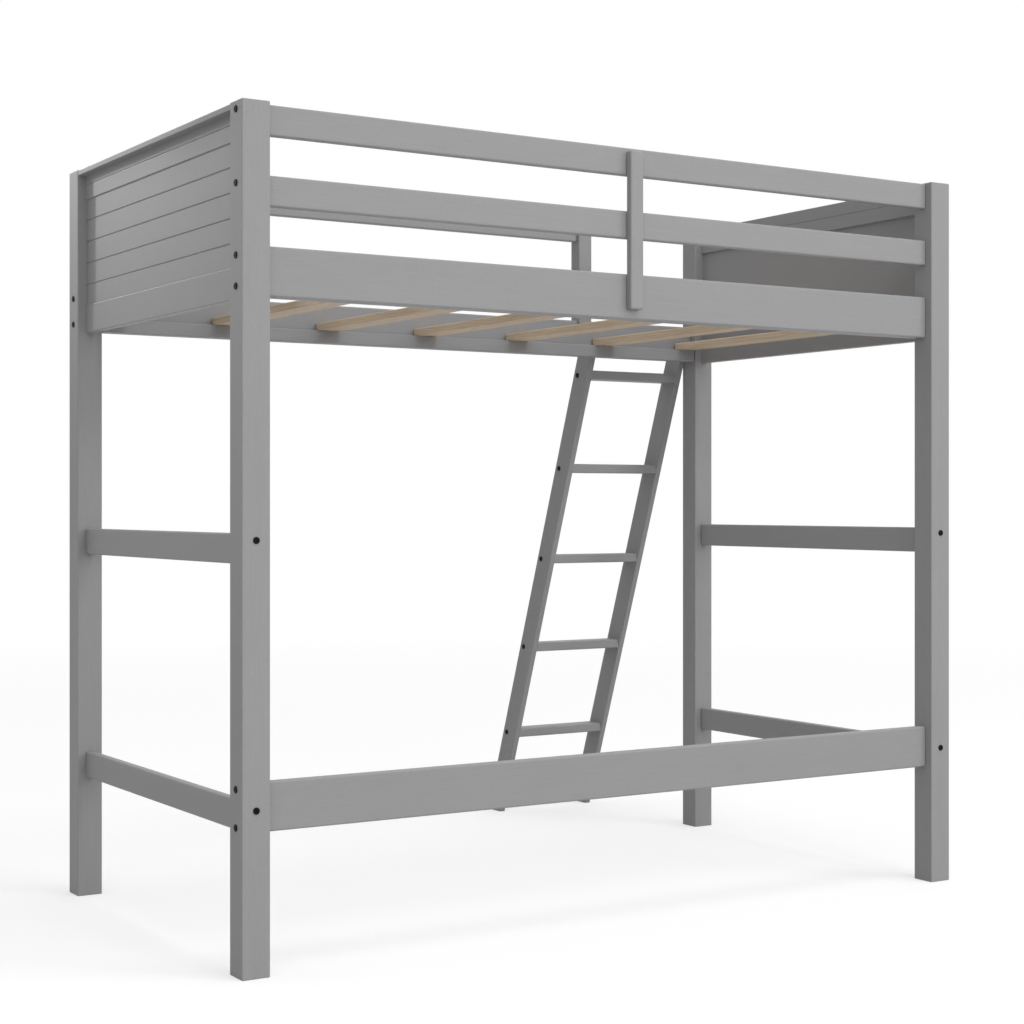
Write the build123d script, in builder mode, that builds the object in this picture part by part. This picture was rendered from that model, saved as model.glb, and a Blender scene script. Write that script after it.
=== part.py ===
from build123d import *
import math
import os

os.makedirs("parts", exist_ok=True)

# Bed frame, over the corner posts. X is its length and Z is up.
bed_length = 2020
bed_width = 1076
post_height = 1835
post_size = 64
post_round = 2.5

# Boards between the posts. All are centred on the posts.
board_thickness = 22
board_round = 4.5
guard_rail_height = 65
guard_rail_drop = 3  # from the post tops down to the top guard rails
guard_reach = 301  # from the side rails up to the post tops
side_rail_height = 106
lower_rail_height = 106
lower_rail_base = 301
end_rail_height = 65
end_middle_rail_base = 864
end_lower_rail_base = 300

# Headboard and footboard
cap_drop = 2  # from the post tops down to the cap
cap_height = 36
lip_height = 13
lip_setback = 1  # of the cap's lip behind the posts' outer faces
upper_board_height = 37
lower_board_drop = 4  # of the lower board below the side rails
lower_board_height = 70
panel_thickness = 10
panel_step = 3  # of the panel behind the boards' outer faces
tongue = 8
panel_fit = 0.3
plank_pitch = 54.2
v_groove = 4
cap_round = 2

# Post at the ladder gate, in the back guard
gate_width = 378
gate_post_size = 44
gate_lap = 10  # of the gate post's cheeks over the side rail's two faces
gate_fit = 0.1

# Strip in front of the front guard
brace_width = 37
brace_thickness = 20
brace_rise = 22  # above the side rail's lower edge
brace_drop = 8  # below the top guard rail's upper edge

# Slats and the ledgers that carry them
ledger_width = 22
ledger_height = 34
ledger_gap = 4
ledger_round = 2
slat_count = 7
slat_width = 66
slat_thickness = 19
slat_corner = 8
slat_round = 2.5
slat_end_gap = 2
slat_side_gap = 2

# Ladder behind the gate
ladder_lean = 19.9
ladder_seat = 28  # from the side rail's lower edge up to where the stiles meet it
ladder_width = 351
ladder_gap = 1.5  # between the ladder and the back right post
stile_width = 70
stile_thickness = 19
stile_drop = 4  # from the side rail's upper edge down to the stile tops
stile_round = 3
rung_count = 5
rung_first = 260.7
rung_drop = 48  # from the side rail's lower edge down to the middle of the top rung
rung_thickness = 27
rung_round = 4.5

# Fasteners
bolt_head = 15
bolt_head_height = 2.5
bolt_shank = 6
bolt_tail = 5  # past the end of its threaded insert
bolt_hole = 7
socket_size = 4
socket_depth = 1.6
insert_diameter = 10
insert_length = 25
insert_setback = 2  # below the end of the board
insert_fit = 0.1
thread_fit = 0.05
dowel_diameter = 8
dowel_length = 40
dowel_fit = 0.1
dowel_chamfer = 1
stile_dowel = 10  # how far the rungs' dowels reach into the stiles
hole_spare = 1  # depth left free beyond each bolt, dowel and screw
screw_shank = 4
screw_head = 8
screw_angle = 90
screw_fit = 0.05
slat_screw_length = 38
slat_screw_shift = 16  # from the slats' middle lines, the other way at each end
brace_screw_cover = 6  # wood left in front of the screws' tips
ladder_screw_cover = 4
ladder_screw_grip = 36
ladder_screw_bore = 12

# Bolts and dowels in the boards' ends: how far in from the nearer edge
top_guard_bolt = 15
middle_guard_bolt = 20.5
guard_dowel = 17
side_rail_low_bolt = 18.5
side_rail_high_bolt = 22.5
lower_rail_bolt = 13
end_rail_bolt = 14
end_rail_dowel = 16
gate_dowel = 16
lower_board_dowel = 18
upper_board_dowel = 14
cap_dowel = 16
gate_dowel_spread = 30
rung_bolt_inset = 17
rung_dowel_inset = 19
ladder_screw_rises = (40, 64)  # above the side rail's lower edge

side_rail_top = post_height - guard_reach
side_rail_base = side_rail_top - side_rail_height

# The ladder's foot, measured back from the back posts
lean = math.tan(math.radians(ladder_lean))
stile_run = stile_width / math.cos(math.radians(ladder_lean))
seat_height = side_rail_base + ladder_seat
ladder_foot = lean * seat_height - (post_size - board_thickness) / 2
ladder_reach = ladder_foot + stile_run

middle_y = (bolt_head_height - ladder_reach) / 2
front_face = middle_y - bed_width / 2
back_face = middle_y + bed_width / 2
front_line = front_face + post_size / 2
back_line = back_face - post_size / 2
end_line = bed_length / 2 - post_size / 2
inside_x = bed_length / 2 - post_size
inside_y = bed_width / 2 - post_size
half_board = board_thickness / 2
panel_line = end_line + half_board - panel_step - panel_thickness / 2

top_guard_base = post_height - guard_rail_drop - guard_rail_height
middle_guard_base = (side_rail_top + top_guard_base - guard_rail_height) / 2
cap_base = post_height - cap_drop - cap_height
upper_board_base = cap_base - upper_board_height
lower_board_base = side_rail_base - lower_board_drop
lower_board_top = lower_board_base + lower_board_height
slat_base = side_rail_base + ledger_height
gate_post_x = inside_x - gate_width - gate_post_size / 2
gate_end_x = gate_post_x - gate_post_size / 2

bolt_reach = insert_setback + insert_length + bolt_tail
rail_shank = post_size + bolt_reach
rung_shank = stile_thickness + bolt_reach
brace_screw_length = board_thickness + brace_thickness - brace_screw_cover
ladder_screw_length = ladder_screw_grip + board_thickness - ladder_screw_cover


def save(piece, name):
    piece.part.label = name
    export_step(piece.part, f"parts/{name}.step")


def x_seats(line_y, base, rises, sides=(-1, 1)):
    """Joints at the ends of a board along X, facing out of the board."""
    return [
        Plane((side * inside_x, line_y, base + rise), z_dir=(side, 0, 0))
        for side in sides
        for rise in rises
    ]


def y_seats(line_x, base, rises):
    """Joints at the ends of a board along Y, facing out of the board."""
    return [
        Plane((line_x, middle_y + side * inside_y, base + rise), z_dir=(0, side, 0))
        for side in (-1, 1)
        for rise in rises
    ]


def turned(seat):
    return Plane(seat.origin, z_dir=-seat.z_dir)


def drill(places, diameter, depth):
    if places:
        with Locations(*places):
            Hole(diameter / 2, depth)


def drill_screws(places, depth):
    """Countersunk screw holes."""
    with Locations(*places):
        CounterSinkHole(
            screw_shank / 2 + screw_fit, screw_head / 2 + screw_fit, depth, screw_angle
        )


def drill_bolts(seats):
    """Bolt holes into a board's end, widened for their threaded inserts."""
    drill(seats, bolt_hole, bolt_reach + hole_spare)
    drill(seats, insert_diameter + 2 * insert_fit, insert_setback + insert_length)


def drill_dowels(seats):
    drill(seats, dowel_diameter + 2 * dowel_fit, dowel_length / 2 + hole_spare)


def along_x(x_from, line_y, base, height):
    """The plane of a section that is drawn from x_from along +X."""
    return Plane((x_from, line_y, base + height / 2), x_dir=(0, 1, 0), z_dir=(1, 0, 0))


def along_y(line_x, y_from, base, height):
    """The plane of a section that is drawn from y_from along +Y."""
    return Plane((line_x, y_from, base + height / 2), x_dir=(-1, 0, 0), z_dir=(0, 1, 0))


def board(section, length, height, bolts=(), dowels=()):
    """A board with eased edges, drilled for its bolts and dowels."""
    with BuildPart() as piece:
        with BuildSketch(section):
            Rectangle(board_thickness, height)
        extrude(amount=length)
        fillet(piece.edges(), board_round)
        drill_bolts(bolts)
        drill_dowels(dowels)
    return piece


# Joints of every board with the posts
side_rail_bolts = (side_rail_low_bolt, side_rail_height - side_rail_high_bolt)
lower_rail_bolts = (lower_rail_bolt, lower_rail_height - lower_rail_bolt)
gate_dowels = (gate_dowel, guard_rail_height - gate_dowel)
front_top_bolts = x_seats(front_line, top_guard_base, [guard_rail_height - top_guard_bolt])
front_top_dowels = x_seats(front_line, top_guard_base, [guard_dowel])
front_middle_bolts = x_seats(
    front_line, middle_guard_base, [guard_rail_height - middle_guard_bolt]
)
front_middle_dowels = x_seats(front_line, middle_guard_base, [guard_dowel])
front_side_bolts = x_seats(front_line, side_rail_base, side_rail_bolts)
front_lower_bolts = x_seats(front_line, lower_rail_base, lower_rail_bolts)
back_side_bolts = x_seats(back_line, side_rail_base, side_rail_bolts)
back_top_dowels = x_seats(back_line, top_guard_base, gate_dowels, [-1])
back_middle_dowels = x_seats(back_line, middle_guard_base, gate_dowels, [-1])


def gate_seats(base):
    """Joints of a back guard rail with the gate post."""
    return [
        Plane((gate_end_x, back_line, base + rise), z_dir=(1, 0, 0)) for rise in gate_dowels
    ]


gate_top_dowels = gate_seats(top_guard_base)
gate_middle_dowels = gate_seats(middle_guard_base)
gate_bolt = [Plane((gate_post_x, back_line, side_rail_top), z_dir=(0, 0, -1))]
gate_foot_dowels = [
    Plane((gate_post_x + side * gate_dowel_spread / 2, back_line, side_rail_top))
    for side in (-1, 1)
]

end_bolts = {}
end_dowels = {}
board_dowels = {}
for end, side in (("left", -1), ("right", 1)):
    end_x = side * end_line
    for level, base in (("middle", end_middle_rail_base), ("lower", end_lower_rail_base)):
        end_bolts[end, level] = y_seats(end_x, base, [end_rail_height - end_rail_bolt])
        end_dowels[end, level] = y_seats(end_x, base, [end_rail_dowel])
    board_dowels[end, "cap"] = y_seats(end_x, cap_base, [cap_dowel])
    board_dowels[end, "upper"] = y_seats(
        end_x, upper_board_base, [upper_board_height - upper_board_dowel]
    )
    board_dowels[end, "lower"] = y_seats(
        end_x, lower_board_base, [lower_board_dowel, lower_board_height - lower_board_dowel]
    )

post_bolts = (
    front_top_bolts + front_middle_bolts + front_side_bolts + front_lower_bolts
    + back_side_bolts + [seat for seats in end_bolts.values() for seat in seats]
)
post_dowels = (
    front_top_dowels + front_middle_dowels + back_top_dowels + back_middle_dowels
    + [seat for seats in end_dowels.values() for seat in seats]
    + [seat for seats in board_dowels.values() for seat in seats]
)


def at_corner(seats, side_x, side_y):
    return [
        seat for seat in seats
        if seat.origin.X * side_x > 0 and (seat.origin.Y - middle_y) * side_y > 0
    ]


def corner_post(side_x, side_y):
    """A square post, with a slot in its inner side for the end panel's tongue."""
    slot_height = upper_board_base - lower_board_top + 2 * tongue
    slot_middle = (upper_board_base + lower_board_top) / 2
    post_x = side_x * end_line
    post_y = middle_y + side_y * (bed_width - post_size) / 2
    inner_face = Plane(
        (side_x * panel_line, middle_y + side_y * inside_y, slot_middle),
        x_dir=(side_y, 0, 0), z_dir=(0, -side_y, 0),
    )
    with BuildPart() as post:
        with BuildSketch(Plane((post_x, post_y, 0))):
            Rectangle(post_size, post_size)
        extrude(amount=post_height)
        fillet(post.edges(), post_round)
        with BuildSketch(inner_face):
            Rectangle(panel_thickness + panel_fit, slot_height)
        extrude(amount=-tongue, mode=Mode.SUBTRACT)
        outer = [seat.offset(post_size) for seat in at_corner(post_bolts, side_x, side_y)]
        drill(outer, bolt_hole, post_size)
        drill_dowels([turned(seat) for seat in at_corner(post_dowels, side_x, side_y)])
    return post


for name, side_x, side_y in (
    ("front_left_post", -1, -1),
    ("front_right_post", 1, -1),
    ("back_left_post", -1, 1),
    ("back_right_post", 1, 1),
):
    save(corner_post(side_x, side_y), name)


def front_rail(base, height, bolts, dowels=()):
    section = along_x(-inside_x, front_line, base, height)
    return board(section, 2 * inside_x, height, bolts, dowels)


def brace_holes(heights):
    """Screw holes from a rail's inner face towards the brace."""
    face = front_line + half_board
    return [Plane((0, face, height), z_dir=(0, 1, 0)) for height in heights]


brace_base = side_rail_base + brace_rise
brace_top = top_guard_base + guard_rail_height - brace_drop
brace_screw_heights = [
    side_rail_base + side_rail_height / 2,
    middle_guard_base + guard_rail_height / 2,
    top_guard_base + guard_rail_height / 2,
]


def front_side_rail():
    with BuildPart() as rail:
        add(front_rail(side_rail_base, side_rail_height, front_side_bolts).part)
        drill_screws(brace_holes(brace_screw_heights[:1]), board_thickness)
    return rail


def front_guard_rail(base, height, bolts, dowels):
    with BuildPart() as rail:
        add(front_rail(base, guard_rail_height, bolts, dowels).part)
        drill_screws(brace_holes([height]), board_thickness)
    return rail


def brace():
    """The strip that stands on the outside of the three upper front rails."""
    section = Plane((0, front_line - half_board - brace_thickness / 2, brace_base))
    reach = brace_screw_length - board_thickness
    starts = [
        Plane((0, front_line - half_board, height), z_dir=(0, 1, 0))
        for height in brace_screw_heights
    ]
    with BuildPart() as strip:
        with BuildSketch(section):
            Rectangle(brace_width, brace_thickness)
        extrude(amount=brace_top - brace_base)
        fillet(strip.edges(), board_round)
        drill(starts, screw_shank + 2 * screw_fit, reach + hole_spare)
    return strip


save(
    front_guard_rail(top_guard_base, brace_screw_heights[2], front_top_bolts, front_top_dowels),
    "front_top_guard_rail",
)
save(
    front_guard_rail(
        middle_guard_base, brace_screw_heights[1], front_middle_bolts, front_middle_dowels
    ),
    "front_middle_guard_rail",
)
save(front_side_rail(), "front_side_rail")
save(front_rail(lower_rail_base, lower_rail_height, front_lower_bolts), "front_lower_rail")
save(brace(), "front_guard_brace")


def back_side_rail():
    """The rail at the back, drilled for the ladder and the gate post."""
    section = along_x(-inside_x, back_line, side_rail_base, side_rail_height)
    foot = Plane((gate_post_x, back_line, side_rail_base), z_dir=(0, 0, -1))
    with BuildPart() as rail:
        add(board(section, 2 * inside_x, side_rail_height, back_side_bolts).part)
        drill([foot], bolt_hole, side_rail_height)
        drill([foot], bolt_head + 2 * insert_fit, side_rail_height - post_size)
        drill_dowels(gate_foot_dowels)
        drill(ladder_screw_starts(), screw_shank + 2 * screw_fit,
              ladder_screw_length - ladder_screw_grip + hole_spare)
    return rail


def ladder_screw_starts():
    """Where the ladder's top screws enter the side rail's outer face."""
    return [
        Plane((x, back_line + half_board, side_rail_base + rise), z_dir=(0, 1, 0))
        for x in stile_lines
        for rise in ladder_screw_rises
    ]


ladder_right = inside_x - ladder_gap
ladder_left = ladder_right - ladder_width
stile_lines = (ladder_left + stile_thickness / 2, ladder_right - stile_thickness / 2)


def back_guard_rail(base, post_ends, gate_ends):
    section = along_x(-inside_x, back_line, base, guard_rail_height)
    length = gate_end_x + inside_x
    return board(section, length, guard_rail_height, dowels=post_ends + gate_ends)


def gate_post():
    """The short post that ends the back guard, forked over the side rail's edge."""
    rail_seats = [turned(seat) for seat in gate_top_dowels + gate_middle_dowels]
    foot_seats = [turned(seat) for seat in gate_foot_dowels]
    with BuildPart() as post:
        with BuildSketch(Plane((gate_post_x, back_line, side_rail_top - gate_lap))):
            Rectangle(gate_post_size, gate_post_size)
        extrude(amount=post_height - side_rail_top + gate_lap)
        fillet(post.edges(), post_round)
        with BuildSketch(Plane((gate_post_x, back_line, side_rail_top))):
            Rectangle(gate_post_size, board_thickness + 2 * gate_fit)
        extrude(amount=-gate_lap, mode=Mode.SUBTRACT)
        drill_dowels(rail_seats + foot_seats)
        drill_bolts(gate_bolt)
    return post


save(back_side_rail(), "back_side_rail")
save(back_guard_rail(top_guard_base, back_top_dowels, gate_top_dowels), "back_top_guard_rail")
save(
    back_guard_rail(middle_guard_base, back_middle_dowels, gate_middle_dowels),
    "back_middle_guard_rail",
)
save(gate_post(), "gate_post")


def end_rail(end, side, level, base):
    section = along_y(side * end_line, middle_y - inside_y, base, end_rail_height)
    return board(
        section, 2 * inside_y, end_rail_height,
        end_bolts[end, level], end_dowels[end, level],
    )


def cap(side):
    """The headboard's top rail: an L-section whose lip covers the boards below."""
    inner = -half_board
    outer = half_board
    lip_face = post_size / 2 - lip_setback
    dowels = board_dowels["left" if side < 0 else "right", "cap"]
    section = Plane(
        (side * end_line, middle_y + side * inside_y, cap_base),
        x_dir=(side, 0, 0), z_dir=(0, -side, 0),
    )
    with BuildPart() as rail:
        with BuildSketch(section):
            with BuildLine():
                Polyline(
                    (inner, 0), (outer, 0), (outer, cap_height - lip_height),
                    (lip_face, cap_height - lip_height), (lip_face, cap_height),
                    (inner, cap_height), close=True,
                )
            make_face()
        extrude(amount=2 * inside_y)
        crook = (side * (end_line + outer), middle_y, cap_base + cap_height - lip_height)
        top_ends = rail.faces().sort_by(Axis.Z)[-1].edges().filter_by(Axis.X)
        fillet(rail.edges().filter_by(Axis.Y).sort_by_distance(crook)[1:] + top_ends, cap_round)
        drill_dowels(dowels)
    return rail


def slotted_board(end, side, level, base, height, slot_side):
    """A board of the headboard, with a slot for the panel in one edge."""
    section = along_y(side * end_line, middle_y - inside_y, base, height)
    edge = base + (height if slot_side > 0 else 0)
    with BuildPart() as piece:
        with BuildSketch(section):
            Rectangle(board_thickness, height)
        extrude(amount=2 * inside_y)
        fillet(piece.edges().filter_by(Axis.Y), cap_round)
        with BuildSketch(Plane((side * panel_line, middle_y, edge), z_dir=(0, 0, slot_side))):
            Rectangle(panel_thickness + panel_fit, 2 * inside_y)
        extrude(amount=-tongue, mode=Mode.SUBTRACT)
        drill_dowels(board_dowels[end, level])
    return piece


def end_panel(side):
    """A thin panel with V-grooves outside, held in slots on all four sides."""
    open_height = upper_board_base - lower_board_top
    middle_z = (upper_board_base + lower_board_top) / 2
    grow = 2 * (tongue - panel_fit)
    outer_face = Plane(
        (side * (panel_line + panel_thickness / 2), middle_y, middle_z),
        x_dir=(0, side, 0), z_dir=(side, 0, 0),
    )
    groove_count = round(open_height / plank_pitch) - 1
    with BuildPart() as panel:
        with BuildSketch(outer_face):
            Rectangle(2 * inside_y + grow, open_height + grow)
        extrude(amount=-panel_thickness)
        groove_line = Plane(
            (side * (panel_line + panel_thickness / 2), middle_y - inside_y - tongue, middle_z),
            x_dir=(0, 0, 1), z_dir=(0, 1, 0),
        )
        with BuildSketch(groove_line):
            with GridLocations(plank_pitch, 1, groove_count, 1):
                Rectangle(v_groove / math.sqrt(2), v_groove / math.sqrt(2), rotation=45)
        extrude(amount=2 * (inside_y + tongue), mode=Mode.SUBTRACT)
    return panel


for end, side, board_name in (("left", -1, "headboard"), ("right", 1, "footboard")):
    save(cap(side), f"{board_name}_cap")
    save(
        slotted_board(end, side, "upper", upper_board_base, upper_board_height, -1),
        f"{board_name}_upper_rail",
    )
    save(end_panel(side), f"{board_name}_panel")
    save(
        slotted_board(end, side, "lower", lower_board_base, lower_board_height, 1),
        f"{board_name}_lower_rail",
    )
    save(end_rail(end, side, "middle", end_middle_rail_base), f"{end}_end_middle_rail")
    save(end_rail(end, side, "lower", end_lower_rail_base), f"{end}_end_lower_rail")


# Slats, evenly spread between the ends, on a ledger along each side rail
slat_reach = bed_width / 2 - post_size / 2 - half_board - slat_end_gap
slat_first = inside_x - slat_side_gap - slat_width / 2
slat_lines = [
    -slat_first + 2 * slat_first * index / (slat_count - 1) for index in range(slat_count)
]
slat_screw_reach = slat_reach + slat_end_gap - ledger_width / 2


def slat_screw_places(height):
    return [
        Plane((x + side * slat_screw_shift, middle_y + side * slat_screw_reach, height))
        for x in slat_lines
        for side in (-1, 1)
    ]


def ledger(side):
    """The strip glued inside a side rail, level with the rail's lower edge."""
    line = middle_y + side * slat_screw_reach
    section = Plane(
        (-inside_x + ledger_gap, line, side_rail_base + ledger_height / 2),
        x_dir=(0, 1, 0), z_dir=(1, 0, 0),
    )
    screws = [place for place in slat_screw_places(slat_base) if
              (place.origin.Y - middle_y) * side > 0]
    with BuildPart() as strip:
        with BuildSketch(section):
            Rectangle(ledger_width, ledger_height)
        extrude(amount=2 * (inside_x - ledger_gap))
        fillet(strip.edges(), ledger_round)
        drill(screws, screw_shank + 2 * screw_fit,
              slat_screw_length - slat_thickness + hole_spare)
    return strip


def slat(x):
    """A flat slat with rounded corners, screwed down at both ends."""
    holes = [place for place in slat_screw_places(slat_base + slat_thickness)
             if abs(place.origin.X - x) < slat_width / 2]
    with BuildPart() as piece:
        with BuildSketch(Plane((x, middle_y, slat_base))):
            RectangleRounded(slat_width, 2 * slat_reach, slat_corner)
        extrude(amount=slat_thickness)
        fillet(piece.faces().filter_by(Axis.Z).edges(), slat_round)
        drill_screws(holes, slat_thickness)
    return piece


save(ledger(-1), "front_ledger")
save(ledger(1), "back_ledger")
for index, x in enumerate(slat_lines):
    save(slat(x), f"slat_{index + 1}")


# Ladder: two leaning stiles with level rungs between them
stile_top = side_rail_top - stile_drop
rung_pitch = (side_rail_base - rung_drop - rung_first) / (rung_count - 1)
rung_heights = [rung_first + rung_pitch * index for index in range(rung_count)]
rung_length = ladder_width - 2 * stile_thickness
rung_setback = lean * rung_thickness / 2  # of a rung behind the stiles' front edges
rung_depth = stile_run - 2 * rung_setback
rung_bolt = rung_setback + rung_depth - rung_bolt_inset
rung_dowel = rung_setback + rung_dowel_inset


def stile_front(height):
    """Y of the stiles' front edges at a height."""
    return back_face + ladder_foot - lean * height


def rung_seats(height, from_front):
    """Joints at both ends of a rung, facing out of the rung."""
    return [
        Plane((x, stile_front(height) + from_front, height), z_dir=(side, 0, 0))
        for x, side in ((ladder_left + stile_thickness, -1), (ladder_right - stile_thickness, 1))
    ]


def stile(x, side):
    """A stile, cut level at the floor and upright where it meets the side rail."""
    rail_face = back_line + half_board
    bolts = [seat.offset(stile_thickness) for height in rung_heights
             for seat in rung_seats(height, rung_bolt) if seat.z_dir.X * side > 0]
    dowels = [turned(seat) for height in rung_heights
              for seat in rung_seats(height, rung_dowel) if seat.z_dir.X * side > 0]
    screws = [start for start in ladder_screw_starts() if abs(start.origin.X - x) < stile_thickness]
    with BuildPart() as piece:
        with BuildSketch(Plane((x, 0, 0), x_dir=(0, 1, 0), z_dir=(1, 0, 0))):
            with BuildLine():
                Polyline(
                    (stile_front(0), 0), (stile_front(0) + stile_run, 0),
                    (stile_front(stile_top) + stile_run, stile_top),
                    (rail_face, stile_top), (rail_face, seat_height), close=True,
                )
            make_face()
        extrude(amount=stile_thickness / 2, both=True)
        foot_edges = piece.faces().sort_by(Axis.Z)[0].edges()
        fillet(piece.edges() - foot_edges, stile_round)
        drill(bolts, bolt_hole, stile_thickness)
        drill(dowels, dowel_diameter + 2 * dowel_fit, stile_dowel + hole_spare)
        drill_screws([start.offset(ladder_screw_grip) for start in screws], ladder_screw_grip)
        drill([start.offset(ladder_screw_grip + stile_run) for start in screws],
              ladder_screw_bore, stile_run)
    return piece


def rung(height):
    section = Plane(
        (ladder_left + stile_thickness, stile_front(height) + stile_run / 2, height),
        x_dir=(0, 1, 0), z_dir=(1, 0, 0),
    )
    with BuildPart() as piece:
        with BuildSketch(section):
            Rectangle(rung_depth, rung_thickness)
        extrude(amount=rung_length)
        fillet(piece.edges().filter_by(Axis.X), rung_round)
        drill_bolts(rung_seats(height, rung_bolt))
        drill(rung_seats(height, rung_dowel), dowel_diameter + 2 * dowel_fit,
              dowel_length - stile_dowel + hole_spare)
    return piece


save(stile(stile_lines[0], -1), "ladder_left_stile")
save(stile(stile_lines[1], 1), "ladder_right_stile")
for index, height in enumerate(rung_heights):
    save(rung(height), f"ladder_rung_{index + 1}")


def connector_bolt(shank):
    """A low-headed bolt with a hexagon socket, its head above Z = 0."""
    with BuildPart() as bolt:
        Cylinder(bolt_head / 2, bolt_head_height, align=(Align.CENTER, Align.CENTER, Align.MIN))
        fillet(bolt.edges().sort_by(Axis.Z)[-1], bolt_head_height / 2)
        with BuildSketch(Plane.XY.offset(bolt_head_height)):
            RegularPolygon(socket_size / 2, 6, major_radius=False)
        extrude(amount=-socket_depth, mode=Mode.SUBTRACT)
        with Locations((0, 0, -shank / 2)):
            Cylinder(bolt_shank / 2, shank)
    return bolt


def threaded_insert():
    """A threaded sleeve along Z, its mouth at Z = 0."""
    with BuildPart() as sleeve:
        with BuildSketch():
            Circle(insert_diameter / 2)
            Circle(bolt_shank / 2 + thread_fit, mode=Mode.SUBTRACT)
        extrude(amount=-insert_length)
    return sleeve


def wood_screw(length):
    """A countersunk screw whose flat head lies at Z = 0."""
    head_height = (screw_head - screw_shank) / 2
    with BuildPart() as screw:
        with BuildSketch(Plane.XZ):
            with BuildLine():
                Polyline(
                    (0, 0), (screw_head / 2, 0), (screw_shank / 2, -head_height),
                    (screw_shank / 2, screw_shank - length), (0, -length), close=True,
                )
            make_face()
        revolve(axis=Axis.Z)
    return screw


def dowel():
    with BuildPart() as peg:
        Cylinder(dowel_diameter / 2, dowel_length)
        chamfer(peg.edges(), dowel_chamfer)
    return peg


def group(piece, places):
    """Separate copies of one fastener, one at each place."""
    with BuildPart() as copies:
        with Locations(*places):
            add(piece.part)
    return copies


rung_bolt_seats = [seat for height in rung_heights for seat in rung_seats(height, rung_bolt)]
rung_dowel_seats = [seat for height in rung_heights for seat in rung_seats(height, rung_dowel)]

rail_bolt_places = [seat.offset(post_size) for seat in post_bolts + gate_bolt]
save(group(connector_bolt(rail_shank), rail_bolt_places), "rail_bolts")

rung_bolt_places = [seat.offset(stile_thickness) for seat in rung_bolt_seats]
save(group(connector_bolt(rung_shank), rung_bolt_places), "ladder_bolts")

insert_places = [
    seat.offset(-insert_setback) for seat in post_bolts + gate_bolt + rung_bolt_seats
]
save(group(threaded_insert(), insert_places), "threaded_inserts")

dowel_places = post_dowels + gate_top_dowels + gate_middle_dowels + gate_foot_dowels
dowel_places += [seat.offset(stile_dowel - dowel_length / 2) for seat in rung_dowel_seats]
save(group(dowel(), dowel_places), "dowels")

save(group(wood_screw(brace_screw_length), brace_holes(brace_screw_heights)), "brace_screws")
save(
    group(wood_screw(slat_screw_length), slat_screw_places(slat_base + slat_thickness)),
    "slat_screws",
)
ladder_screw_places = [start.offset(ladder_screw_grip) for start in ladder_screw_starts()]
save(group(wood_screw(ladder_screw_length), ladder_screw_places), "ladder_screws")
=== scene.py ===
import math

import bmesh
import bpy
from mathutils import Euler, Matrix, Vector


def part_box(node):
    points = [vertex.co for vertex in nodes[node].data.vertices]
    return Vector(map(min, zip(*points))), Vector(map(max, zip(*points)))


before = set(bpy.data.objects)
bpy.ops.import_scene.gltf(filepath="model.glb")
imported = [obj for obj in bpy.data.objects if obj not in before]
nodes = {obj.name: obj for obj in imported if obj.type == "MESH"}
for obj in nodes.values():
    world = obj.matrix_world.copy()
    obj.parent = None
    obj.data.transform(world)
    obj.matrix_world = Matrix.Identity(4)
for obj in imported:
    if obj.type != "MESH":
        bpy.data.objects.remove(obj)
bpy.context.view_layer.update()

# Corner posts
# Four square pine posts, planed, sanded and sprayed with a satin grey paint.
# The paint is thin, so the wood's fibre and growth rings still show through it.

GREY = (0.333, 0.332, 0.338, 1)
PAINT_GLOSS = 0.15
PAINT_RELIEF = 0.00007


def socket(group, name, kind, into=True, value=None):
    side = "INPUT" if into else "OUTPUT"
    made = group.interface.new_socket(name=name, in_out=side, socket_type=kind)
    if value is not None:
        made.default_value = value


def math_node(tree, operation, first, second=None):
    """A Math node's output. Each input is a socket or a number."""
    node = tree.nodes.new("ShaderNodeMath")
    node.operation = operation
    for slot, source in zip(node.inputs, (first, second)):
        if isinstance(source, (int, float)):
            slot.default_value = source
        elif source is not None:
            tree.links.new(source, slot)
    return node.outputs[0]


def spread(tree, value, from_low, from_high, to_low, to_high):
    """A Map Range node's output."""
    node = tree.nodes.new("ShaderNodeMapRange")
    tree.links.new(value, node.inputs["Value"])
    for name, number in (
        ("From Min", from_low), ("From Max", from_high), ("To Min", to_low), ("To Max", to_high)
    ):
        node.inputs[name].default_value = number
    return node.outputs["Result"]


def noise(tree, vector, stretch, seed, detail=2.0, roughness=0.5):
    """Noise whose grains per metre along each axis are given by stretch."""
    scaled = tree.nodes.new("ShaderNodeVectorMath")
    scaled.operation = "MULTIPLY"
    tree.links.new(vector, scaled.inputs[0])
    scaled.inputs[1].default_value = stretch
    node = tree.nodes.new("ShaderNodeTexNoise")
    node.noise_dimensions = "4D"
    tree.links.new(scaled.outputs[0], node.inputs["Vector"])
    tree.links.new(seed, node.inputs["W"])
    node.inputs["Scale"].default_value = 1
    node.inputs["Detail"].default_value = detail
    node.inputs["Roughness"].default_value = roughness
    return node.outputs["Fac"]


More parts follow.
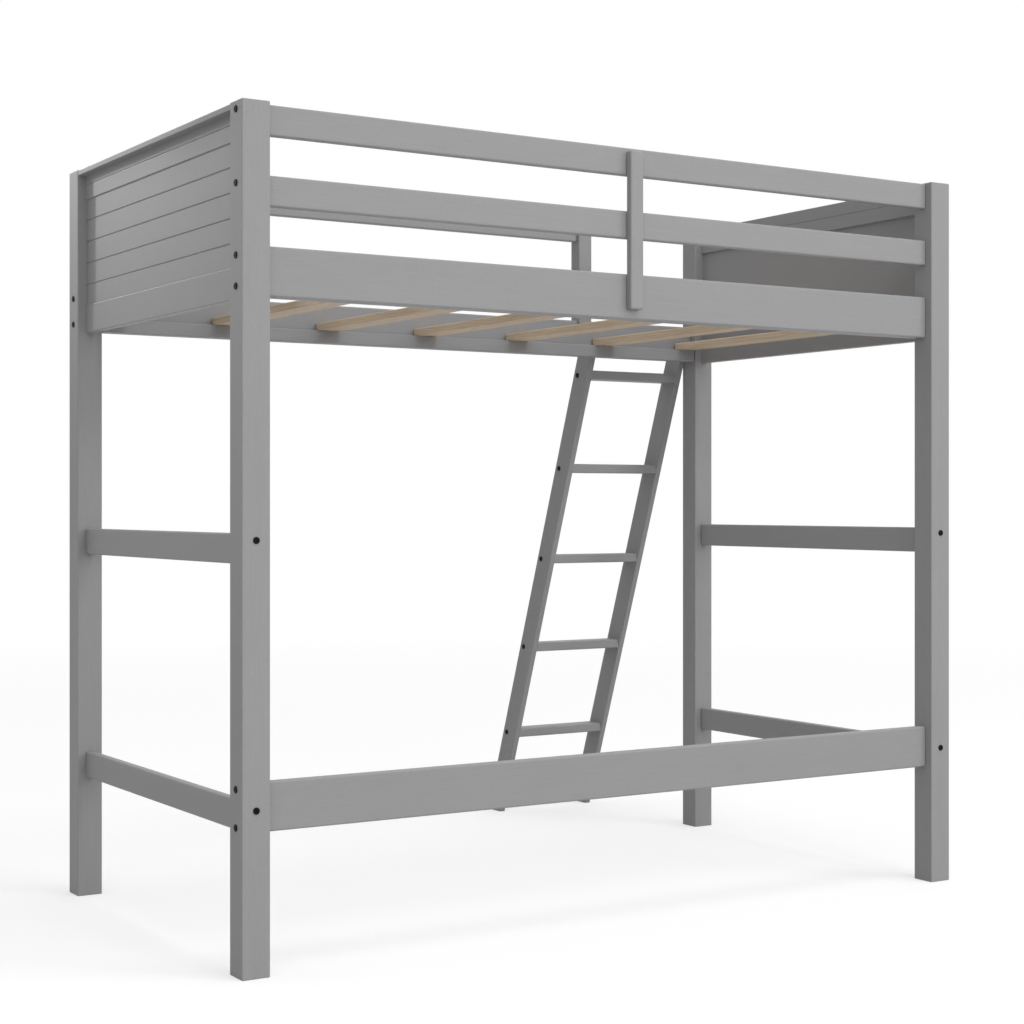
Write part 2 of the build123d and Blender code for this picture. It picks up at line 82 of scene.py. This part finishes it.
def timber_group():
    """Softwood sawn along X: growth rings round a pith, fibres along the grain."""
    group = bpy.data.node_groups.new("Timber", "ShaderNodeTree")
    socket(group, "Vector", "NodeSocketVector")
    socket(group, "Pith", "NodeSocketVector", value=(0, 0.05, 0.02))
    socket(group, "Ring Width", "NodeSocketFloat", value=0.004)
    socket(group, "Seed", "NodeSocketFloat", value=0)
    for name in ("Rings", "Fibre", "Cloud"):
        socket(group, name, "NodeSocketFloat", into=False)
    entry = group.nodes.new("NodeGroupInput").outputs
    leave = group.nodes.new("NodeGroupOutput").inputs

    from_pith = group.nodes.new("ShaderNodeVectorMath")
    from_pith.operation = "SUBTRACT"
    group.links.new(entry["Vector"], from_pith.inputs[0])
    group.links.new(entry["Pith"], from_pith.inputs[1])
    across = group.nodes.new("ShaderNodeVectorMath")
    across.operation = "MULTIPLY"
    group.links.new(from_pith.outputs[0], across.inputs[0])
    across.inputs[1].default_value = (0, 1, 1)
    radius = group.nodes.new("ShaderNodeVectorMath")
    radius.operation = "LENGTH"
    group.links.new(across.outputs[0], radius.inputs[0])

    wander = noise(group, entry["Vector"], (1.6, 9, 9), entry["Seed"], detail=3)
    shift = spread(group, wander, 0.3, 0.7, -0.011, 0.011)
    grown = math_node(group, "ADD", radius.outputs["Value"], shift)
    turns = math_node(group, "DIVIDE", grown, entry["Ring Width"])
    year = math_node(group, "FRACT", turns)
    late = math_node(group, "POWER", year, 2.4)
    closing = spread(group, year, 0.9, 1.0, 1.0, 0.0)
    group.links.new(math_node(group, "MULTIPLY", late, closing), leave["Rings"])

    fibre = noise(group, entry["Vector"], (11, 480, 480), entry["Seed"], detail=4, roughness=0.65)
    group.links.new(fibre, leave["Fibre"])
    cloud = noise(group, entry["Vector"], (2.5, 14, 14), entry["Seed"], detail=3)
    group.links.new(cloud, leave["Cloud"])
    return group


TIMBER = timber_group()


def place(tree, name, node, inputs):
    made = tree.nodes.new("ShaderNodeGroup")
    made.node_tree = node
    made.label = name
    for key, value in inputs.items():
        if isinstance(value, bpy.types.NodeSocket):
            tree.links.new(value, made.inputs[key])
        else:
            made.inputs[key].default_value = value
    return made.outputs


def paint_group():
    """Satin paint over softwood: its colour, roughness and relief."""
    group = bpy.data.node_groups.new("Paint over wood", "ShaderNodeTree")
    socket(group, "Vector", "NodeSocketVector")
    socket(group, "Colour", "NodeSocketColor", value=GREY)
    socket(group, "Pith", "NodeSocketVector", value=(0, 0.05, 0.02))
    socket(group, "Seed", "NodeSocketFloat", value=0)
    socket(group, "Colour Out", "NodeSocketColor", into=False)
    socket(group, "Roughness", "NodeSocketFloat", into=False)
    socket(group, "Height", "NodeSocketFloat", into=False)
    entry = group.nodes.new("NodeGroupInput").outputs
    leave = group.nodes.new("NodeGroupOutput").inputs
    wood = place(group, "Wood below", TIMBER, {
        "Vector": entry["Vector"], "Pith": entry["Pith"], "Seed": entry["Seed"],
        "Ring Width": 0.0045,
    })
    spray = noise(group, entry["Vector"], (260, 260, 260), entry["Seed"], detail=2)

    # The shade follows the fibre a little, the rings less, and drifts over the board
    shade = math_node(group, "ADD", spread(group, wood["Fibre"], 0.3, 0.7, -0.034, 0.034),
                      spread(group, wood["Cloud"], 0.3, 0.7, -0.02, 0.02))
    shade = math_node(group, "ADD", shade, spread(group, wood["Rings"], 0, 1, 0.003, -0.008))
    shade = math_node(group, "ADD", shade, spread(group, spray, 0.3, 0.7, 0.975, 1.025))
    toned = group.nodes.new("ShaderNodeVectorMath")
    toned.operation = "SCALE"
    group.links.new(entry["Colour"], toned.inputs[0])
    group.links.new(shade, toned.inputs["Scale"])
    group.links.new(toned.outputs[0], leave["Colour Out"])

    group.links.new(
        math_node(group, "ADD", spread(group, wood["Fibre"], 0.3, 0.7, 0.43, 0.53),
                  spread(group, wood["Cloud"], 0.3, 0.7, -0.04, 0.04)),
        leave["Roughness"])
    relief = math_node(group, "ADD", spread(group, wood["Fibre"], 0, 1, 0, 1),
                       spread(group, wood["Rings"], 0, 1, 0, 0.08))
    relief = math_node(group, "ADD", relief, spread(group, spray, 0, 1, 0, 0.3))
    group.links.new(relief, leave["Height"])
    return group


PAINT = paint_group()

# Each turn brings a board's length onto the X axis of its wood
ALONG_X = (0, 0, 0)
ALONG_Y = (0, 0, -math.pi / 2)
ALONG_Z = (0, math.pi / 2, 0)


def sawn(tree, node, turn):
    """Object coordinates, centred on a board and turned along its length."""
    coordinates = tree.nodes.new("ShaderNodeTexCoord")
    mapping = tree.nodes.new("ShaderNodeMapping")
    low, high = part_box(node)
    centre = Euler(turn).to_matrix() @ ((low + high) / 2)
    mapping.inputs["Location"].default_value = -centre
    mapping.inputs["Rotation"].default_value = turn
    tree.links.new(coordinates.outputs["Object"], mapping.inputs["Vector"])
    return mapping.outputs["Vector"]


def empty_material(name):
    material = bpy.data.materials.new(name)
    material.use_nodes = True
    shader = material.node_tree.nodes["Principled BSDF"]
    return material, material.node_tree, shader


def dress(node, material):
    nodes[node].data.materials.clear()
    nodes[node].data.materials.append(material)


def bump(tree, shader, height, distance, strength=1.0):
    node = tree.nodes.new("ShaderNodeBump")
    node.inputs["Distance"].default_value = distance
    node.inputs["Strength"].default_value = strength
    tree.links.new(height, node.inputs["Height"])
    tree.links.new(node.outputs["Normal"], shader.inputs["Normal"])


def paint(node, turn, seed, pith, tone=1.0):
    """Paints one board. Its pith is given across the board, in metres."""
    material, tree, shader = empty_material("grey_paint_" + node)
    finish = place(tree, "Paint over wood", PAINT, {
        "Vector": sawn(tree, node, turn), "Seed": seed, "Pith": (0, *pith),
        "Colour": (GREY[0] * tone, GREY[1] * tone, GREY[2] * tone, 1),
    })
    tree.links.new(finish["Colour Out"], shader.inputs["Base Color"])
    tree.links.new(finish["Roughness"], shader.inputs["Roughness"])
    shader.inputs["Specular IOR Level"].default_value = PAINT_GLOSS
    bump(tree, shader, finish["Height"], PAINT_RELIEF)
    dress(node, material)


paint("front_left_post", ALONG_Z, 1.3, (0.045, 0.02))
paint("front_right_post", ALONG_Z, 2.9, (0.02, 0.05), 0.99)
paint("back_left_post", ALONG_Z, 4.1, (0.05, -0.03), 1.01)
paint("back_right_post", ALONG_Z, 5.6, (-0.04, 0.045))


# Front rails
# Two guard rails, a side rail and a low rail of 22 mm pine boards, with rounded
# edges, each bolted to the posts. A short upright strip stiffens the upper three.

paint("front_top_guard_rail", ALONG_X, 7.2, (0.06, 0.015))
paint("front_middle_guard_rail", ALONG_X, 8.4, (-0.07, -0.02), 1.01)
paint("front_side_rail", ALONG_X, 9.7, (0.08, 0.03))
paint("front_lower_rail", ALONG_X, 11.1, (0.09, -0.035), 0.99)
paint("front_guard_brace", ALONG_Z, 12.5, (0.03, 0.04), 1.01)


# Back rails
# The same boards at the back. The guard rails stop at a short post, beside the
# gap where the ladder comes up.

paint("back_side_rail", ALONG_X, 13.3, (-0.07, 0.03))
paint("back_top_guard_rail", ALONG_X, 14.9, (0.06, -0.02), 1.01)
paint("back_middle_guard_rail", ALONG_X, 16.2, (0.05, 0.03))
paint("gate_post", ALONG_Z, 17.8, (0.03, -0.04), 0.99)


# Headboard and footboard
# A capped board, a thin grooved panel and a lower board at each end, glued up
# between the posts, with two open rails below them.

for number, (end, board) in enumerate((("left", "headboard"), ("right", "footboard"))):
    seed = 20 + 9 * number
    paint(f"{board}_cap", ALONG_Y, seed + 0.4, (0.03, -0.05))
    paint(f"{board}_upper_rail", ALONG_Y, seed + 1.7, (-0.05, 0.03))
    paint(f"{board}_panel", ALONG_Y, seed + 2.6, (0.12, 0.05))
    paint(f"{board}_lower_rail", ALONG_Y, seed + 3.8, (0.07, -0.02), 0.99)
    paint(f"{end}_end_middle_rail", ALONG_Y, seed + 5.1, (0.05, 0.04), 1.01)
    paint(f"{end}_end_lower_rail", ALONG_Y, seed + 6.5, (-0.06, 0.02))


# Slats and ledgers
# Seven flat slats of bare sanded pine lie across the bed. They are screwed down
# to a painted strip along the inside of each side rail.

paint("front_ledger", ALONG_X, 41.2, (0.04, 0.02), 0.98)
paint("back_ledger", ALONG_X, 43.9, (-0.04, 0.03), 0.98)

PINE_EARLY = (0.69, 0.55, 0.40, 1)
PINE_LATE = (0.41, 0.28, 0.17, 1)
PINE_GLOSS = 0.35
PINE_RELIEF = 0.00012


def bare_pine(node, seed, pith):
    material, tree, shader = empty_material("bare_pine_" + node)
    wood = place(tree, "Timber", TIMBER, {
        "Vector": sawn(tree, node, ALONG_Y), "Seed": seed, "Pith": (0, *pith),
        "Ring Width": 0.0052,
    })
    rings = tree.nodes.new("ShaderNodeMix")
    rings.data_type = "RGBA"
    rings.inputs["A"].default_value = PINE_EARLY
    rings.inputs["B"].default_value = PINE_LATE
    strength = math_node(tree, "ADD", spread(tree, wood["Rings"], 0, 1, 0, 0.42),
                         spread(tree, wood["Fibre"], 0.3, 0.7, -0.22, 0.42))
    strength.node.use_clamp = True
    tree.links.new(strength, rings.inputs["Factor"])
    toned = tree.nodes.new("ShaderNodeVectorMath")
    toned.operation = "SCALE"
    tree.links.new(rings.outputs["Result"], toned.inputs[0])
    tree.links.new(spread(tree, wood["Cloud"], 0.3, 0.7, 0.93, 1.06), toned.inputs["Scale"])
    tree.links.new(toned.outputs[0], shader.inputs["Base Color"])
    tree.links.new(spread(tree, wood["Fibre"], 0.3, 0.7, 0.56, 0.7), shader.inputs["Roughness"])
    shader.inputs["Specular IOR Level"].default_value = PINE_GLOSS
    bump(tree, shader, wood["Fibre"], PINE_RELIEF)
    dress(node, material)


for number in range(1, 8):
    side = 1 if number % 2 else -1
    bare_pine(f"slat_{number}", 50 + 1.37 * number, (0.02 * side + 0.006 * number, 0.03))


# Ladder
# Two stiles lean against the back side rail and carry five level rungs, each
# bolted through the stiles. All of it is the same grey painted pine.

LEAN = math.radians(19.9)
ALONG_STILE = (-LEAN, math.pi / 2, 0)

paint("ladder_left_stile", ALONG_STILE, 61.3, (0.02, 0.06))
paint("ladder_right_stile", ALONG_STILE, 63.8, (-0.03, 0.05), 1.01)
for number in range(1, 6):
    paint(f"ladder_rung_{number}", ALONG_X, 65 + 1.9 * number, (0.01 * number, -0.04))


# Bolts
# Low round heads with a hexagon socket, in black oxide steel. They hold the
# rails in the posts and the rungs in the stiles.

STEEL_RELIEF = 0.00003


def metal(name, colour, metallic, rough, grain, gloss=0.5):
    """Steel with a finely uneven finish. Grain is its marks per metre."""
    material, tree, shader = empty_material(name)
    coordinates = tree.nodes.new("ShaderNodeTexCoord").outputs["Object"]
    marks = tree.nodes.new("ShaderNodeTexNoise")
    marks.inputs["Scale"].default_value = grain
    marks.inputs["Detail"].default_value = 3
    tree.links.new(coordinates, marks.inputs["Vector"])
    ramp = tree.nodes.new("ShaderNodeMix")
    ramp.data_type = "RGBA"
    ramp.inputs["A"].default_value = (*[part * 0.8 for part in colour], 1)
    ramp.inputs["B"].default_value = (*[part * 1.25 for part in colour], 1)
    tree.links.new(marks.outputs["Fac"], ramp.inputs["Factor"])
    tree.links.new(ramp.outputs["Result"], shader.inputs["Base Color"])
    shader.inputs["Metallic"].default_value = metallic
    shader.inputs["Specular IOR Level"].default_value = gloss
    tree.links.new(spread(tree, marks.outputs["Fac"], 0.3, 0.7, rough - 0.06, rough + 0.08),
                   shader.inputs["Roughness"])
    bump(tree, shader, marks.outputs["Fac"], STEEL_RELIEF)
    return material


black_oxide = metal("black_oxide", (0.006, 0.006, 0.007), 0.0, 0.45, 900, 0.08)
dress("rail_bolts", black_oxide)
dress("ladder_bolts", black_oxide)


# Hidden fasteners
# Zinc plated threaded inserts and screws, and fluted beech dowels, sit inside
# the joints. Only the slat screws' heads show from above.

zinc = metal("zinc_plate", (0.52, 0.53, 0.54), 1.0, 0.34, 700)
for node in ("threaded_inserts", "brace_screws", "slat_screws", "ladder_screws"):
    dress(node, zinc)

BEECH_LIGHT = (0.62, 0.45, 0.29, 1)
BEECH_DARK = (0.46, 0.3, 0.17, 1)

beech, beech_tree, beech_shader = empty_material("beech")
beech_wood = place(beech_tree, "Timber", TIMBER, {
    "Vector": sawn(beech_tree, "dowels", ALONG_X), "Seed": 80.0, "Pith": (0, 0.2, 0.1),
    "Ring Width": 0.0016,
})
beech_mix = beech_tree.nodes.new("ShaderNodeMix")
beech_mix.data_type = "RGBA"
beech_mix.inputs["A"].default_value = BEECH_LIGHT
beech_mix.inputs["B"].default_value = BEECH_DARK
beech_tree.links.new(beech_wood["Fibre"], beech_mix.inputs["Factor"])
beech_tree.links.new(beech_mix.outputs["Result"], beech_shader.inputs["Base Color"])
beech_tree.links.new(spread(beech_tree, beech_wood["Fibre"], 0.3, 0.7, 0.5, 0.65),
                     beech_shader.inputs["Roughness"])
dress("dowels", beech)


# Floor
# A plain white studio floor. It lights the underside of the bed and keeps its
# shadow, and to the camera it runs into the white background.

FLOOR_SIZE = 60
FLOOR_GREY = 0.52
FLOOR_GLOW = 0.52
FADE_FROM = 2.5
FADE_TO = 9

sheet = bmesh.new()
bmesh.ops.create_grid(sheet, x_segments=1, y_segments=1, size=FLOOR_SIZE)
floor_mesh = bpy.data.meshes.new("floor")
sheet.to_mesh(floor_mesh)
sheet.free()
floor = bpy.data.objects.new("floor", floor_mesh)
bpy.context.scene.collection.objects.link(floor)

floor_material, floor_tree, floor_shader = empty_material("studio_floor")
floor_shader.inputs["Roughness"].default_value = 1
floor_shader.inputs["Specular IOR Level"].default_value = 0
floor_shader.inputs["Emission Color"].default_value = (1, 1, 1, 1)
floor_point = floor_tree.nodes.new("ShaderNodeTexCoord")
from_bed = floor_tree.nodes.new("ShaderNodeVectorMath")
from_bed.operation = "LENGTH"
floor_tree.links.new(floor_point.outputs["Object"], from_bed.inputs[0])
far = spread(floor_tree, from_bed.outputs["Value"], FADE_FROM, FADE_TO, 0, 1)
shade = floor_tree.nodes.new("ShaderNodeMix")
shade.data_type = "RGBA"
shade.inputs["A"].default_value = (FLOOR_GREY, FLOOR_GREY, FLOOR_GREY, 1)
shade.inputs["B"].default_value = (0, 0, 0, 1)
rays = floor_tree.nodes.new("ShaderNodeLightPath").outputs
seen = math_node(floor_tree, "MAXIMUM", rays["Is Camera Ray"], rays["Is Glossy Ray"])
floor_tree.links.new(math_node(floor_tree, "MULTIPLY", seen, far), shade.inputs["Factor"])
floor_tree.links.new(shade.outputs["Result"], floor_shader.inputs["Base Color"])
floor_tree.links.new(
    math_node(floor_tree, "MULTIPLY", seen, spread(floor_tree, far, 0, 1, FLOOR_GLOW, 1)),
    floor_shader.inputs["Emission Strength"])
floor.data.materials.append(floor_material)


# Light
# Four broad soft boxes in front, a small one at the back left that rakes along the
# headboard, and a white surround that is brightest overhead.

BED_MIDDLE = (0, -0.3, 0.9)
HEADBOARD = (-0.965, 0.045, 1.64)
BROAD = (4.5, 4.0)
SMALL = (0.4, 0.4)
NARROW_BEAM = 12.5
SURROUND_SIDE = 0.29
SURROUND_TOP = 1.5


def soft_box(name, place_at, aim_at, size, power, spread_angle=180):
    lamp = bpy.data.lights.new(name, "AREA")
    lamp.shape = "RECTANGLE"
    lamp.size, lamp.size_y = size
    lamp.energy = power
    lamp.spread = math.radians(spread_angle)
    lamp_object = bpy.data.objects.new(name, lamp)
    lamp_object.location = place_at
    aim = Vector(aim_at) - Vector(place_at)
    lamp_object.rotation_euler = aim.to_track_quat("-Z", "Y").to_euler()
    bpy.context.scene.collection.objects.link(lamp_object)


soft_box("front_overhead_box", (1.6, -5.2, 11.5), BED_MIDDLE, BROAD, 290)
soft_box("front_level_box", (0.0, -11.5, 3.0), BED_MIDDLE, BROAD, 290)
soft_box("front_left_box", (-7.5, -9.0, 6.0), BED_MIDDLE, BROAD, 105)
soft_box("front_right_box", (7.5, -9.0, 5.0), BED_MIDDLE, BROAD, 225)
soft_box("back_left_box", (-2.578, 4.5, 3.34), HEADBOARD, SMALL, 0.58, NARROW_BEAM)

world = bpy.data.worlds.new("surround")
bpy.context.scene.world = world
world.use_nodes = True
surround = world.node_tree.nodes["Background"]
surround.inputs["Color"].default_value = (1, 1, 1, 1)
sky_point = world.node_tree.nodes.new("ShaderNodeTexCoord")
sky_axes = world.node_tree.nodes.new("ShaderNodeSeparateXYZ")
world.node_tree.links.new(sky_point.outputs["Generated"], sky_axes.inputs[0])
rise = math_node(world.node_tree, "MAXIMUM", sky_axes.outputs["Z"], 0.0)
top_light = math_node(world.node_tree, "POWER", rise, 4.0)
glow = spread(world.node_tree, top_light, 0, 1, SURROUND_SIDE, SURROUND_TOP)
world_rays = world.node_tree.nodes.new("ShaderNodeLightPath").outputs
shown = math_node(world.node_tree, "MAXIMUM", world_rays["Is Camera Ray"],
                  world_rays["Is Glossy Ray"])
world.node_tree.links.new(math_node(world.node_tree, "MAXIMUM", glow, shown),
                          surround.inputs["Strength"])


# Camera
# Level, a metre above the floor and to the left of the bed's front.

EYE = (-2.6356, -4.4840, 0.9910)
HEADING = math.radians(-32.01)
FOCAL_PIXELS = 1909.33
HORIZON_ROW = 504.01
PICTURE = 1024

camera = bpy.data.cameras.new("camera")
camera.sensor_width = 36
camera.lens = FOCAL_PIXELS * camera.sensor_width / PICTURE
camera.shift_y = (HORIZON_ROW - PICTURE / 2) / PICTURE
camera_object = bpy.data.objects.new("camera", camera)
camera_object.location = EYE
camera_object.rotation_euler = (math.pi / 2, 0, HEADING)
bpy.context.scene.collection.objects.link(camera_object)
bpy.context.scene.camera = camera_object
bpy.context.scene.view_settings.view_transform = "Standard"
